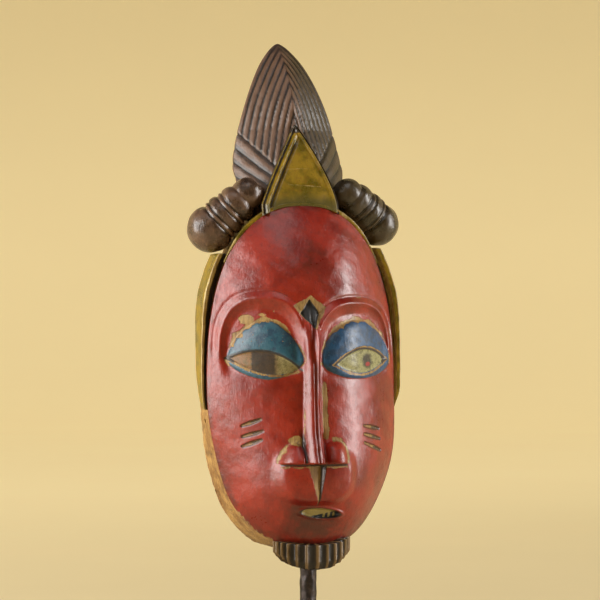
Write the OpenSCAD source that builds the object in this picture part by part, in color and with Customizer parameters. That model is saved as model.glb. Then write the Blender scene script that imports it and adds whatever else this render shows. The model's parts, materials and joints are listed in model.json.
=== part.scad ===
// Carved and painted wooden face mask with a tall combed crest, on an iron rod stand.
// Origin: centre of the stand's foot. +Z is up, the mask looks along -Y, and +X is to the viewer's right.

/* [Stand] */
// Width of the base block, side to side
base_w = 130; // [110:1:150]
// Depth of the base block, front to back
base_d = 112; // [110:1:140]
// Height of the base block
base_h = 28; // [24:1:40]
// Thickness of the felt under the base block
felt_t = 2; // [1:0.5:3]
// Diameter of the iron rod
rod_d = 12; // [10:0.5:12]
// Bare rod between the base block and the tip of the beard
rod_gap = 60; // [40:1:120]
// Diameter of the floor flange
flange_d = 58; // [54:1:64]

/* [Mask] */
// Height of the painted face, from the chin to the hair line
face_h = 231; // [225:1:240]
// Width of the painted face at its widest
face_w = 134; // [128:1:138]
// How far the middle of the face stands in front of its side edges
face_bulge = 40; // [36:1:42]
// Thickness of the carved wooden wall
wall_t = 11; // [9:0.5:12]
// Depth of the bare wooden rim behind the face's side edges
rim_d = 30; // [28:1:32]
// How much narrower the back of the rim is than the face, on each side
rim_lean = 3.5; // [0:0.5:5]
// Solid wood left in the chin for the rod, measured up from the chin
chin_t = 46; // [44:1:48]
// Height of the hair crest above the hair line
crest_rise = 115.5; // [105:0.5:120]
// Width of the hair crest where it leaves the side braids
crest_w = 78; // [74:1:82]
// Height of the fluted beard below the chin
beard_h = 15; // [14:1:18]
// Diameter of each ball at the end of the side buns
bun_d = 30; // [28:1:32]
// Diameter of the lashing holes through the rim
lash_d = 3.6; // [3:0.2:5]

/* [Hidden] */
$fn = 64;

// Radial clearance of the turning rod in its holes
fit_gap = 0.05;
// Clearance of a screw in its hole
screw_gap = 0.05;

// Heights
base_top = felt_t + base_h;
beard_tip_z = base_top + rod_gap;
chin_z = beard_tip_z + beard_h;
hair_line_z = chin_z + face_h;
widest_z = chin_z + 0.464 * face_h;
crest_tip_z = hair_line_z + crest_rise;
upper_h = hair_line_z - widest_z;
lower_h = widest_z - chin_z;

// Places front to back: the parting plane is where the face's side edges lie
parting_y = -3;
rod_y = parting_y - 15;
back_y = parting_y + rim_d;

// Stand
rod_foot_z = felt_t + 8;
rod_top_z = chin_z + 40;
socket_top_z = rod_top_z + 0.2;
flange_t = 4;
boss_d = 26;
boss_h = 18;
grub_z = base_top + flange_t + boss_h / 2;
grub_d = 5;
screw_ring_d = 42;
screw_d = 4;
screw_head_d = 8;
screw_len = 20;
corner_r = 5;

// Face outline: a superellipse above and below the widest level
half_w = face_w / 2;
oval_power = 2.4;
columns = 60;
rings = 10;
chin_forward = 24;
hair_line_forward = 5;
muzzle = 8;
// How far the back of the jaw hangs below the chin
jaw_drop = 5.5;

function side(v) = v < 0 ? -1 : 1;
function mix(a, b, t) = a + (b - a) * t;
function clamped(t) = max(0, min(1, t));
function soft_step(t) = clamped(t) * clamped(t) * (3 - 2 * clamped(t));

// A point of an outline with half width w, reaching up by u and down by d from the widest level, at angle a
function oval_x(a, w) = w * side(cos(a)) * pow(abs(cos(a)), 2 / oval_power);
function oval_z(a, u, d) = widest_z + (sin(a) > 0 ? u : -d) * pow(abs(sin(a)), 2 / oval_power);

// Half width of the face at height z
function width_at(z) = let (t = z > widest_z ? (z - widest_z) / upper_h : (widest_z - z) / lower_h)
    half_w * pow(max(0, 1 - pow(t, oval_power)), 1 / oval_power);

// How far the face's edge comes forward of the parting plane at angle a
function edge_forward(a) = (sin(a) < 0 ? chin_forward : hair_line_forward) * pow(abs(sin(a)), 4);

// Fullness of the dome from its middle to its edge at angle a
function dome_power(a) = 2 + (sin(a) < 0 ? 1.5 : 0.6) * pow(sin(a), 2);

// How far the middle line stands forward at height z: the muzzle is fuller than the brow
function middle_forward(z) = face_bulge + muzzle * soft_step((widest_z - 10 - z) / 70);

function on_dome(a, r, w, u, d, less) =
    let (z = mix(widest_z, oval_z(a, u, d), r), e = edge_forward(a), m = middle_forward(z) - less)
    [r * oval_x(a, w), parting_y - e - (m - e) * (1 - pow(r, dome_power(a))), z];

function outer_point(a, r) = on_dome(a, r, half_w, upper_h, lower_h, 0);
function back_point(a) = [oval_x(a, half_w - rim_lean), back_y, oval_z(a, upper_h, lower_h + jaw_drop)];
function inner_point(a, r) = on_dome(a, r, half_w - wall_t, upper_h - 1.4 * wall_t, lower_h - chin_t, wall_t + 2);

// Faces between two rows of n vertices each, closed into a ring
function ring_faces(n, lo, hi) = [for (j = [0 : n - 1]) let (k = (j + 1) % n)
    each [[lo + j, hi + j, hi + k], [lo + j, hi + k, lo + k]]];
// Fan from one vertex to a row of n vertices
function fan_faces(n, tip, row) = [for (j = [0 : n - 1]) [tip, row + j, row + (j + 1) % n]];
function turned(faces) = [for (f = faces) [f[2], f[1], f[0]]];

// ---- Stand ----

module rounded_plate(w, d, h, r) {
    linear_extrude(h) {
        square([w - 2 * r, d], center = true);
        square([w, d - 2 * r], center = true);
        for (x = [-1, 1], y = [-1, 1]) translate([x * (w / 2 - r), y * (d / 2 - r)]) circle(r);
    }
}

module at_screws() {
    for (k = [0 : 3]) translate([0, rod_y, base_top]) rotate(45 + 90 * k) translate([screw_ring_d / 2, 0, 0]) children();
}

module base_block() {
    color([0.13, 0.09, 0.07])
    difference() {
        translate([0, 0, felt_t]) rounded_plate(base_w, base_d, base_h, corner_r);
        translate([0, rod_y, rod_foot_z - 0.1]) cylinder(d = rod_d + 2 * fit_gap, h = base_h);
        at_screws() translate([0, 0, -screw_len + flange_t]) cylinder(d = screw_d + 2 * screw_gap, h = screw_len);
    }
}

module base_felt() {
    color([0.10, 0.11, 0.10])
    rounded_plate(base_w - 6, base_d - 6, felt_t, corner_r);
}

module rod_flange() {
    color([0.15, 0.13, 0.12])
    difference() {
        translate([0, rod_y, base_top]) {
            cylinder(d = flange_d, h = flange_t);
            cylinder(d = boss_d, h = flange_t + boss_h);
        }
        translate([0, rod_y, base_top - 1]) cylinder(d = rod_d + 2 * fit_gap, h = flange_t + boss_h + 2);
        at_screws() {
            translate([0, 0, -1]) cylinder(d = screw_d + 0.4, h = flange_t + 2);
            translate([0, 0, flange_t - 2.1]) cylinder(d1 = screw_d + 0.4, d2 = screw_head_d + 0.6, h = 2.2);
        }
        translate([0, rod_y, grub_z]) rotate([-90, 0, 0]) cylinder(d = grub_d + 2 * screw_gap, h = boss_d);
    }
}

module flange_screws() {
    color([0.30, 0.28, 0.25])
    at_screws() difference() {
        union() {
            translate([0, 0, flange_t - screw_len + 0.2]) cylinder(d = screw_d, h = screw_len - 0.4);
            translate([0, 0, flange_t - 2.05]) cylinder(d1 = screw_d, d2 = screw_head_d, h = 2);
        }
        translate([-screw_head_d, -0.5, flange_t - 0.9]) cube([2 * screw_head_d, 1, 2]);
    }
}

module grub_screw() {
    color([0.25, 0.24, 0.23])
    translate([0, rod_y, grub_z]) rotate([-90, 0, 0]) difference() {
        translate([0, 0, rod_d / 2 + 0.1]) cylinder(d = grub_d, h = 8);
        translate([0, 0, rod_d / 2 + 5]) cylinder(d = 2.9, h = 5, $fn = 6);
    }
}

module rod() {
    color([0.16, 0.13, 0.11])
    translate([0, rod_y, 0]) {
        translate([0, 0, rod_foot_z]) cylinder(d = rod_d, h = rod_top_z - rod_foot_z - 1);
        translate([0, 0, rod_top_z - 1]) cylinder(d1 = rod_d, d2 = rod_d - 2, h = 1);
    }
}

// ---- Face: a domed shell, with the nose standing on it ----

module face_shell() {
    outer = [for (i = [1 : rings], j = [0 : columns - 1]) outer_point(360 * j / columns, i / rings)];
    inner = [for (i = [1 : rings], j = [0 : columns - 1]) inner_point(360 * j / columns, i / rings)];
    tips = [outer_point(0, 0), inner_point(0, 0)];
    inner_start = 2 + rings * columns;
    function row(start, i) = start + (i - 1) * columns;
    faces = concat(
        fan_faces(columns, 0, row(2, 1)),
        [for (i = [1 : rings - 1]) each turned(ring_faces(columns, row(2, i), row(2, i + 1)))],
        turned(ring_faces(columns, row(2, rings), row(inner_start, rings))),
        turned(fan_faces(columns, 1, row(inner_start, 1))),
        [for (i = [1 : rings - 1]) each ring_faces(columns, row(inner_start, i), row(inner_start, i + 1))]);
    polyhedron(points = concat(tips, outer, inner), faces = faces, convexity = 8);
}

// Nose: a narrow ridge from between the brows, spreading into two wings over a flat underside
nose_base_z = chin_z + 0.245 * face_h;
nose_root_z = chin_z + 0.68 * face_h;
nose_half_w = 21.5;
// The nose stands a little to the mask's right of the middle
nose_x = -4.5;

module nose() {
    translate([nose_x, parting_y - face_bulge, 0]) {
        hull() {
            translate([0, 6, nose_root_z]) sphere(5, $fn = 24);
            translate([0, -3.5, nose_base_z + 6]) sphere(6, $fn = 24);
            translate([0, 8, nose_root_z - 20]) sphere(4, $fn = 24);
            translate([0, 3, nose_base_z + 8]) sphere(5, $fn = 24);
        }
        hull() {
            for (s = [-1, 1]) translate([s * (nose_half_w - 6), 4, nose_base_z + 6]) sphere(6, $fn = 24);
            translate([0, -1, nose_base_z + 6]) sphere(6, $fn = 24);
            translate([0, 4, nose_base_z + 16]) sphere(6, $fn = 24);
        }
    }
}

module face() {
    color([0.62, 0.13, 0.10])
    union() {
        face_shell();
        nose();
    }
}

// ---- Bare wooden rim behind the face, in four blocks that meet end to end ----

// Columns first to last of the ring between the outline and the hollow, from the face's edge to the back plane
module rim_block(first, last) {
    n = last - first + 1;
    points = [for (j = [first : last]) let (
            a = 360 * j / columns,
            o = outer_point(a, 1),
            i = inner_point(a, 1))
        each [o, back_point(a), [i[0], back_y, i[2]], i]];
    strips = [for (c = [0 : n - 2], s = [0 : 3]) let (
            p = 4 * c + s,
            q = 4 * c + (s + 1) % 4)
        each s == 3 ? [[q, p, p + 4], [q, p + 4, q + 4]] : [[p, p + 4, q + 4], [p, q + 4, q]]];
    ends = [[0, 1, 2], [0, 2, 3], [4 * n - 4, 4 * n - 2, 4 * n - 3], [4 * n - 4, 4 * n - 1, 4 * n - 2]];
    polyhedron(points = points, faces = turned(concat(strips, ends)), convexity = 6);
}

// Blocks' ends, in columns from the widest level
rim_low = -11;
rim_high = 7;
half_turn = columns / 2;

// Lashing holes on each side, as [height on the outer wall, place behind the parting plane, fall towards the outside]
lash_holes = [[chin_z + 0.463 * face_h, 17.5, 0], [chin_z + 0.364 * face_h, 14, 0], [chin_z + 0.150 * face_h, 24, 38]];
lash_reach = 45;

module drill_lash_holes(s) {
    for (h = lash_holes) translate([s * width_at(h[0]), parting_y + h[1], h[0]]) rotate([0, s * (90 + h[2]), 0])
        translate([0, 0, -lash_reach]) cylinder(d = lash_d, h = lash_reach + 6, $fn = 24);
}

module chin_block() {
    color([0.58, 0.42, 0.20])
    difference() {
        rim_block(half_turn - rim_low, columns + rim_low);
        translate([0, rod_y, chin_z - 10]) cylinder(d = rod_d + 2 * fit_gap, h = socket_top_z - chin_z + 10);
    }
}

module left_rim() {
    color([0.60, 0.44, 0.22])
    difference() {
        rim_block(half_turn - rim_high, half_turn - rim_low);
        drill_lash_holes(-1);
    }
}

module right_rim() {
    color([0.60, 0.44, 0.22])
    difference() {
        rim_block(rim_low, rim_high);
        drill_lash_holes(1);
    }
}

module crown_block() {
    color([0.55, 0.40, 0.20])
    rim_block(rim_high, half_turn - rim_high);
}

// ---- Hair ----

crest_points = 28;
crest_rings = 16;
crest_foot_z = hair_line_z - 12;
crest_full_z = hair_line_z + 26;
panel_h = 53;
panel_half_w = 26;
panel_foot_y = parting_y - 4;
panel_top_y = parting_y + 13;
crest_back_y = parting_y + 54;

function crest_half_w(z) = z < crest_full_z
    ? mix(0.9, 1, (z - crest_foot_z) / (crest_full_z - crest_foot_z)) * crest_w / 2
    : crest_w / 2 * pow(max(0, 1 - pow((z - crest_full_z) / (crest_tip_z - crest_full_z), 1.3)), 0.62);
function crest_front(z) = z < hair_line_z + panel_h
    ? mix(panel_foot_y, panel_top_y, (z - hair_line_z) / panel_h) + 1.5
    : mix(panel_top_y + 1.5, crest_back_y, (z - hair_line_z - panel_h) / (crest_rise - panel_h));
function crest_rear(z) = mix(back_y - 2, crest_back_y, soft_step((z - crest_foot_z) / 50));

module hair_crest() {
    heights = [for (k = [0 : crest_rings - 1]) mix(crest_foot_z, crest_tip_z, pow(k / crest_rings, 0.85))];
    body = [for (z = heights, j = [0 : crest_points - 1]) let (
            a = 360 * j / crest_points,
            f = crest_front(z),
            b = crest_rear(z))
        [crest_half_w(z) * cos(a), (f + b) / 2 + (b - f) / 2 * sin(a), z]];
    last = crest_rings * crest_points;
    color([0.26, 0.19, 0.15])
    polyhedron(
        points = concat(body, [[0, crest_back_y, crest_tip_z], [0, (crest_front(crest_foot_z) + back_y) / 2, crest_foot_z]]),
        faces = concat(
            [for (k = [0 : crest_rings - 2]) each ring_faces(crest_points, k * crest_points, (k + 1) * crest_points)],
            turned(fan_faces(crest_points, last, (crest_rings - 1) * crest_points)),
            fan_faces(crest_points, last + 1, 0)),
        convexity = 4);
}

// Painted triangle that leans back over the forehead
module forehead_panel() {
    lean = atan((panel_top_y - panel_foot_y) / panel_h);
    color([0.60, 0.52, 0.10])
    translate([0, panel_foot_y, hair_line_z]) rotate([90 - lean, 0, 0])
        translate([0, 0, -3]) linear_extrude(5)
            polygon([[-panel_half_w, -2], [panel_half_w, -2], [0, panel_h / cos(lean)]]);
}

// A four-sided strip swept through stations, each station being its four corners in turn
module strip(stations) {
    n = len(stations);
    polyhedron(
        points = [for (s = stations) each s],
        faces = concat(
            [for (k = [0 : n - 2]) each ring_faces(4, 4 * k, 4 * k + 4)],
            [[0, 1, 2], [0, 2, 3], [4 * n - 1, 4 * n - 2, 4 * n - 3], [4 * n - 1, 4 * n - 3, 4 * n - 4]]),
        convexity = 4);
}

// Thin painted band along the hair line, between the two lappets
band_out = 3.2;
band_in = 1;
band_half_d = 3;

module hair_band() {
    color([0.50, 0.45, 0.12])
    strip([for (a = [42 : 6 : 138]) let (
            y = parting_y - edge_forward(a),
            xi = oval_x(a, half_w - band_in), zi = oval_z(a, upper_h - band_in, lower_h),
            xo = oval_x(a, half_w + band_out), zo = oval_z(a, upper_h + band_out, lower_h))
        [[xi, y - band_half_d + 1, zi], [xo, y - band_half_d + 1, zo], [xo, y + band_half_d, zo], [xi, y + band_half_d, zi]]]);
}

// Painted lappets that hang from the buns down the sides of the rim, narrowing to a rounded tip
lappet_t = 4;
lappet_w = 26;
// How much further out the lappets stand at the top than at the tip
lappet_flare = 2.6;
lappet_taper = 0.95;
lappet_top_z = chin_z + 0.87 * face_h;
lappet_tip_z = chin_z + 0.40 * face_h;
lappet_steps = 14;
// How much lower the left ball hangs than the right one, over a shorter lappet
ball_hang = 4.5;

function lappet_station(s, t) = let (
        z = mix(lappet_tip_z, s < 0 ? lappet_top_z - ball_hang : lappet_top_z, t),
        x = width_at(z),
        full = sqrt(1 - pow(1 - clamped(t * lappet_taper), 2)),
        front = parting_y + 2,
        back = front + max(1, lappet_w * full),
        out = x + max(0.6, lappet_t * sqrt(full)) + lappet_flare * soft_step(1.8 * t - 0.6),
        c = [[s * (x - 1), front, z], [s * out, front, z], [s * out, back, z], [s * (x - 1), back, z]])
    s > 0 ? c : [c[3], c[2], c[1], c[0]];

module lappet(s) {
    color([0.62, 0.50, 0.12])
    strip([for (k = [lappet_steps : -1 : 0]) lappet_station(s, k / lappet_steps)]);
}

module left_lappet() { lappet(-1); }
module right_lappet() { lappet(1); }

// Side buns: two rolls and a ball, each as [out, back, up from the hair line, diameter as a share of the ball's]
bun_rolls = [[39.3, 8.5, 8.5, 0.87], [48.3, 14, 3, 0.91]];
right_ball = [60.6, 16, -12, 1];
left_ball = [59.8, 16, -12 - ball_hang, 1.06];

module bun(s) {
    color([0.22, 0.16, 0.13])
    for (b = concat(bun_rolls, [s < 0 ? left_ball : right_ball])) translate([s * b[0], parting_y + b[1], hair_line_z + b[2]]) sphere(d = bun_d * b[3]);
}

module left_bun() { bun(-1); }
module right_bun() { bun(1); }

// ---- Beard: a half-round comb of upright flutes under the chin ----

beard_half_w = 25.5;
beard_flutes = 11;
flute_r = 2.7;
beard_back = 22.5;
beard_front = 9.5;

module beard() {
    color([0.24, 0.18, 0.15])
    for (k = [0 : beard_flutes - 1]) {
        a = mix(-80, 80, k / (beard_flutes - 1));
        x = beard_half_w * sin(a);
        y = parting_y - beard_back - beard_front * cos(a) + flute_r;
        foot = beard_tip_z + 11 * pow(sin(a), 4);
        top = chin_z + 3 + 2 * pow(sin(a), 2);
        translate([x, y, foot]) cylinder(r = flute_r, h = top - foot, $fn = 32);
    }
    color([0.24, 0.18, 0.15])
    translate([0, parting_y - beard_back, beard_tip_z + 2]) linear_extrude(beard_h + 1)
        polygon([[-beard_half_w + 5, 1.2], [beard_half_w - 5, 1.2], [beard_half_w - 7, -beard_front * 0.45], [0, -beard_front + flute_r],
                 [-beard_half_w + 7, -beard_front * 0.45]]);
}

base_block();
base_felt();
rod_flange();
flange_screws();
grub_screw();
rod();
face();
chin_block();
left_rim();
right_rim();
crown_block();
hair_crest();
forehead_panel();
hair_band();
left_lappet();
right_lappet();
left_bun();
right_bun();
beard();
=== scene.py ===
import json
import math

import bmesh
import bpy
import numpy as np
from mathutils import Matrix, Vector


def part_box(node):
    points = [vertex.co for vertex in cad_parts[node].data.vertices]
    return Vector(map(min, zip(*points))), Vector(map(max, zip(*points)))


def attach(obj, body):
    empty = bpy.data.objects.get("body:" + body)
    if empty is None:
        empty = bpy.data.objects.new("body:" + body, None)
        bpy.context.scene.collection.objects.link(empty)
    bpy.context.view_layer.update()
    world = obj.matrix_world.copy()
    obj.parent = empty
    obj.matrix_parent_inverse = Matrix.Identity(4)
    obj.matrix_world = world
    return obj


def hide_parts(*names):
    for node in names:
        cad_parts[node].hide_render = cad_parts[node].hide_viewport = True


# A carved and painted face mask on an iron rod stand, worked out in millimetres and made small at the end.
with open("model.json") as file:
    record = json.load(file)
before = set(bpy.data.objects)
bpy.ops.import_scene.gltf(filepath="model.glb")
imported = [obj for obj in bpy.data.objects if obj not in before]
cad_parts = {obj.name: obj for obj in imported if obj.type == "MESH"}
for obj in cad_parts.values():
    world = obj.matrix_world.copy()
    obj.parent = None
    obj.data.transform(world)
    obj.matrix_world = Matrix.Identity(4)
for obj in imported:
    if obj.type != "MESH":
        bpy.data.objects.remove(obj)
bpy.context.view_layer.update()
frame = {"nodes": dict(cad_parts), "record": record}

MM = 0.001
scene = bpy.context.scene


def box_mm(node):
    low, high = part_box(node)
    return low / MM, high / MM


face_low, face_high = box_mm("face")
rim_high = box_mm("left_rim")[1]
crest_low, crest_high = box_mm("hair_crest")
beard_low, beard_high = box_mm("beard")
rod_low, rod_high = box_mm("rod")
flange_low, flange_high = box_mm("rod_flange")
base_low, base_high = box_mm("base_block")
felt_low, felt_high = box_mm("base_felt")
jaw_low = box_mm("chin_block")[0]

# The face's outline: a full oval, wider than an ellipse above and below its widest level
CHIN_Z = face_low.z
HAIR_Z = face_high.z
HALF_W = face_high.x
PARTING_Y = face_high.y
BACK_Y = rim_high.y
WIDEST_Z = CHIN_Z + 0.464 * (HAIR_Z - CHIN_Z)
UPPER = HAIR_Z - WIDEST_Z
LOWER = WIDEST_Z - CHIN_Z
FULLNESS = 2.4
FACE_OVAL = (HALF_W, UPPER, LOWER)
HOLLOW_OVAL = (HALF_W - 11, UPPER - 15.4, LOWER - 46)
BACK_OVAL = (HALF_W - 3.2, UPPER + 0.3, WIDEST_Z - jaw_low.z)
LIP = 1.2
ROD_X = (rod_low.x + rod_high.x) / 2
ROD_Y = (rod_low.y + rod_high.y) / 2
ROD_HOLE_R = 6.1
CAMERA_TURN = -18
CAMERA_DISTANCE = 1.6


def unit(t):
    return np.clip(t, 0, 1)


def soft(t):
    t = unit(t)
    return t * t * (3 - 2 * t)


def mix(a, b, t):
    return a + (b - a) * t


def hump(d, width):
    return np.exp(-((d / width) ** 2))


def on_oval(turn, reach, oval):
    """x and z of the point at that angle, reach being 1 on the oval's line."""
    w, up, down = oval
    c, s = np.cos(turn), np.sin(turn)
    full = reach * (abs(c) ** FULLNESS + abs(s) ** FULLNESS) ** (-1 / FULLNESS)
    return w * full * c, WIDEST_Z + full * s * np.where(s > 0, up, down)


def turn_on_oval(x, z, oval):
    w, up, down = oval
    rise = z - WIDEST_Z
    return np.arctan2(rise / np.where(rise > 0, up, down), x / w)


def rise_of(turn):
    """-1 at the chin, 0 at the widest level and 1 at the hair line, for a point's angle."""
    c, s = abs(np.cos(turn)), np.sin(turn)
    full = (c ** FULLNESS + abs(s) ** FULLNESS) ** (-1 / FULLNESS)
    return np.sign(s) * (full * abs(s)) ** (FULLNESS / 2)


def cheek_shift(z):
    """The carving isn't quite even: its cheeks stand a little to its left."""
    return 2.6 * hump(z - CHIN_Z - 58, 30)


def edge_forward(rise):
    return np.where(rise < 0, 24, 5) * rise ** 4


def dome(turn, reach, z, less=0):
    """How far the face stands in front of the parting plane."""
    rise = rise_of(turn)
    edge = edge_forward(rise)
    middle = 40 + 8 * soft((WIDEST_Z - 10 - z) / 70) - less
    power = 2 + np.where(rise < 0, 1.5, 0.6) * rise ** 2
    return edge + (middle - edge) * (1 - unit(reach) ** power)


def width_at(z):
    t = np.where(z > WIDEST_Z, (z - WIDEST_Z) / UPPER, (WIDEST_Z - z) / LOWER)
    return HALF_W * (1 - unit(t) ** FULLNESS) ** (1 / FULLNESS)


def uneven(a, b, size):
    """Slow hand-made unevenness between about -1 and 1, with waves of about that size."""
    a, b = 2 * math.pi / size * a, 2 * math.pi / size * b
    first = 0.4 * np.sin(a + 1.7 * np.sin(0.6 * b)) + 0.35 * np.sin(0.8 * b + 2.1 * np.sin(0.5 * a + 1))
    return first + 0.25 * np.sin(1.9 * (a + 0.6 * b) + 2)


# ---- Mesh helpers ----


def coords(bm):
    return np.array([v.co for v in bm.verts])


def put(bm, x, y, z):
    for vert, point in zip(bm.verts, np.stack(np.broadcast_arrays(x, y, z), 1)):
        vert.co = point


def pole_skin(around, along, place):
    """A closed skin: place takes each point's turn and its share of the way up from pole to pole."""
    bm = bmesh.new()
    bmesh.ops.create_uvsphere(bm, u_segments=around, v_segments=along, radius=1)
    p = coords(bm)
    put(bm, *place(np.arctan2(p[:, 1], p[:, 0]), 1 - np.arccos(np.clip(p[:, 2], -1, 1)) / math.pi))
    return bm


def ring_skin(around, across, place):
    """A closed ring: place takes each point's turn round the ring and its turn round the section."""
    bm = bmesh.new()
    bmesh.ops.create_grid(bm, x_segments=around, y_segments=across, size=math.pi)
    p = coords(bm)
    put(bm, *place(p[:, 0], p[:, 1]))
    bmesh.ops.remove_doubles(bm, verts=bm.verts, dist=1e-4)
    return bm


def squared(turn, power):
    """A point at that angle on a rounded square of half width 1."""
    c, s = np.cos(turn), np.sin(turn)
    r = (abs(c) ** power + abs(s) ** power) ** (-1 / power)
    return r * c, r * s


def placed(name, data):
    """A new object in the scene."""
    thing = bpy.data.objects.new(name, data)
    scene.collection.objects.link(thing)
    return thing


def from_bmesh(name, bm):
    mesh = bpy.data.meshes.new(name)
    bm.to_mesh(mesh)
    bm.free()
    return placed(name, mesh)


def turned(profile, centre, steps, closed):
    """A profile of radii and heights, spun once round an upright axis."""
    bm = bmesh.new()
    verts = [bm.verts.new((centre[0] + r, centre[1], z)) for r, z in profile]
    edges = [bm.edges.new(pair) for pair in zip(verts, verts[1:] + (verts[:1] if closed else []))]
    bmesh.ops.spin(bm, geom=verts + edges, cent=(*centre, 0), axis=(0, 0, 1), angle=2 * math.pi, steps=steps,
                   use_merge=True)
    bmesh.ops.remove_doubles(bm, verts=bm.verts, dist=1e-4)
    return bm


def make_piece(name, bm, finish, body, nodes, fields=None):
    """A finished piece from a mesh in millimetres. Its fields are numbers at each point for the finish."""
    bmesh.ops.scale(bm, vec=(MM, MM, MM), verts=bm.verts)
    bmesh.ops.recalc_face_normals(bm, faces=bm.faces)
    piece = from_bmesh(name, bm)
    mesh = piece.data
    mesh.shade_smooth()
    for field, values in (fields or {}).items():
        values = np.broadcast_to(values, len(mesh.vertices)).astype(np.float32)
        mesh.attributes.new(field, "FLOAT", "POINT").data.foreach_set("value", values)
    for material in finish if isinstance(finish, tuple) else (finish,):
        mesh.materials.append(material)
    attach(piece, body)
    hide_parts(*nodes)
    return piece


def drill(piece, holes):
    """Cuts round holes, each given as its two ends and its radii there, in millimetres."""
    for start, end, start_r, end_r in holes:
        start, end = Vector(start), Vector(end)
        bm = bmesh.new()
        bmesh.ops.create_cone(bm, cap_ends=True, segments=32, radius1=start_r * MM, radius2=end_r * MM,
                              depth=(end - start).length * MM)
        bmesh.ops.rotate(bm, verts=bm.verts, matrix=(end - start).to_track_quat("Z", "Y").to_matrix())
        bmesh.ops.translate(bm, verts=bm.verts, vec=(start + end) / 2 * MM)
        bit = from_bmesh("drill", bm)
        cut = piece.modifiers.new("hole", "BOOLEAN")
        cut.operation = "DIFFERENCE"
        cut.solver = "EXACT"
        cut.object = bit
        bpy.context.view_layer.update()
        drilled = bpy.data.meshes.new_from_object(piece.evaluated_get(bpy.context.evaluated_depsgraph_get()))
        piece.modifiers.clear()
        piece.data = drilled
        bpy.data.objects.remove(bit)
    piece.data.shade_smooth()
    piece.data.set_sharp_from_angle(angle=math.radians(40))


# ---- Finishes ----


def tint(red, green, blue):
    """A colour given from 0 to 255, as light."""
    parts = [c / 255 for c in (red, green, blue)]
    return tuple(((c + 0.055) / 1.055) ** 2.4 if c > 0.04 else c / 12.92 for c in parts) + (1,)


class Finish:
    """A material whose colour, gloss and relief are built up layer by layer."""

    def __init__(self, name):
        self.material = bpy.data.materials.new(name)
        self.material.use_nodes = True
        self.tree = self.material.node_tree
        self.shader = self.tree.nodes["Principled BSDF"]
        self.place = self.tree.nodes.new("ShaderNodeTexCoord").outputs["Object"]

    def node(self, kind, settings=None, **inputs):
        node = self.tree.nodes.new("ShaderNode" + kind)
        for key, value in (settings or {}).items():
            setattr(node, key, value)
        for key, value in inputs.items():
            self.feed(node.inputs[int(key[1:]) if key[1:].isdigit() else key], value)
        return node

    def feed(self, socket, value):
        if isinstance(value, bpy.types.NodeSocket):
            self.tree.links.new(value, socket)
        else:
            socket.default_value = value

    def field(self, name):
        node = self.tree.nodes.new("ShaderNodeAttribute")
        node.attribute_name = name
        return node.outputs["Fac"]

    def axis(self, letter):
        return self.node("SeparateXYZ", i0=self.place).outputs[letter]

    def stretched(self, stretch):
        return self.node("Mapping", {"vector_type": "TEXTURE"}, i0=self.place, i3=stretch).outputs[0]

    def noise(self, size, detail=4.0, rough=0.55, stretch=(1, 1, 1)):
        """A cloudy pattern from 0 to 1, with patches of that size, longer along a stretched axis."""
        place = self.stretched(stretch)
        node = self.node("TexNoise", Vector=place, Scale=1 / (size * MM), Detail=detail, Roughness=rough)
        return node.outputs["Fac"]

    def cells(self, size, stretch=(1, 1, 1)):
        node = self.node("TexVoronoi", Vector=self.stretched(stretch), Scale=1 / (size * MM))
        return node.outputs["Distance"]

    def sum(self, a, b, op="ADD"):
        return self.node("Math", {"operation": op}, i0=a, i1=b).outputs[0]

    def times(self, a, b):
        return self.sum(a, b, "MULTIPLY")

    def step(self, value, low, high, start=0.0, end=1.0):
        """start below low, end above high, and smooth between."""
        smooth = {"interpolation_type": "SMOOTHSTEP"}
        return self.node("MapRange", smooth, i0=value, i1=low, i2=high, i3=start, i4=end).outputs[0]

    def ragged(self, field, edge, size, soft_edge=0.25, shift=0.0):
        """1 inside a field's line, which wanders by up to edge millimetres in waves of that size."""
        wander = self.times(self.sum(self.noise(size, 6.0, 0.65), -0.5 + shift), 2 * edge)
        return self.step(self.sum(field, wander), -soft_edge, soft_edge)

    def layer(self, under, over, share):
        """One colour over another. A colour is a pattern's, or red, green and blue from 0 to 255."""
        node = self.node("Mix", {"data_type": "RGBA"}, i0=share)
        for socket, colour in ((node.inputs[6], under), (node.inputs[7], over)):
            self.feed(socket, tint(*colour) if isinstance(colour, tuple) else colour)
        return node.outputs[2]

    def over(self, colour, share):
        self.colour = self.layer(self.colour, colour, share)

    def spots(self, low, high, share, *pattern):
        """Spots of a cloudy pattern, none below low and with that share above high."""
        return self.times(self.step(self.noise(*pattern), low, high), share)

    def relief(self, *heights):
        """Each height is (pattern, millimetres)."""
        normal = None
        for pattern, depth in heights:
            node = self.node("Bump", Strength=1, Distance=depth * MM, Height=pattern)
            if normal:
                self.feed(node.inputs["Normal"], normal)
            normal = node.outputs[0]
        self.feed(self.shader.inputs["Normal"], normal)

    def done(self, gloss, coat=0.0, coat_rough=0.2, specular=0.5, metal=0.0, sheen=0.0):
        """Gloss is the roughness: a number or a pattern."""
        self.feed(self.shader.inputs["Base Color"], self.colour)
        self.feed(self.shader.inputs["Roughness"], gloss)
        fixed = {"Coat Weight": coat, "Coat Roughness": coat_rough, "Specular IOR Level": specular,
                 "Metallic": metal, "Sheen Weight": sheen}
        for socket, value in fixed.items():
            self.shader.inputs[socket].default_value = value
        return self.material


def bare_colour(finish, pale, deep):
    """Old bare wood: long grain over slow patches, with dark pores."""
    long_grain = finish.noise(1.1, 5.0, 0.6, (1, 1, 9))
    patches = finish.noise(16, 3.0)
    colour = finish.layer(deep, pale, finish.step(finish.sum(long_grain, patches), 0.75, 1.25))
    return finish.layer(colour, (84, 54, 26), finish.spots(0.62, 0.72, 0.6, 0.5, 2.0, 0.5, (1, 1, 14)))


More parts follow.
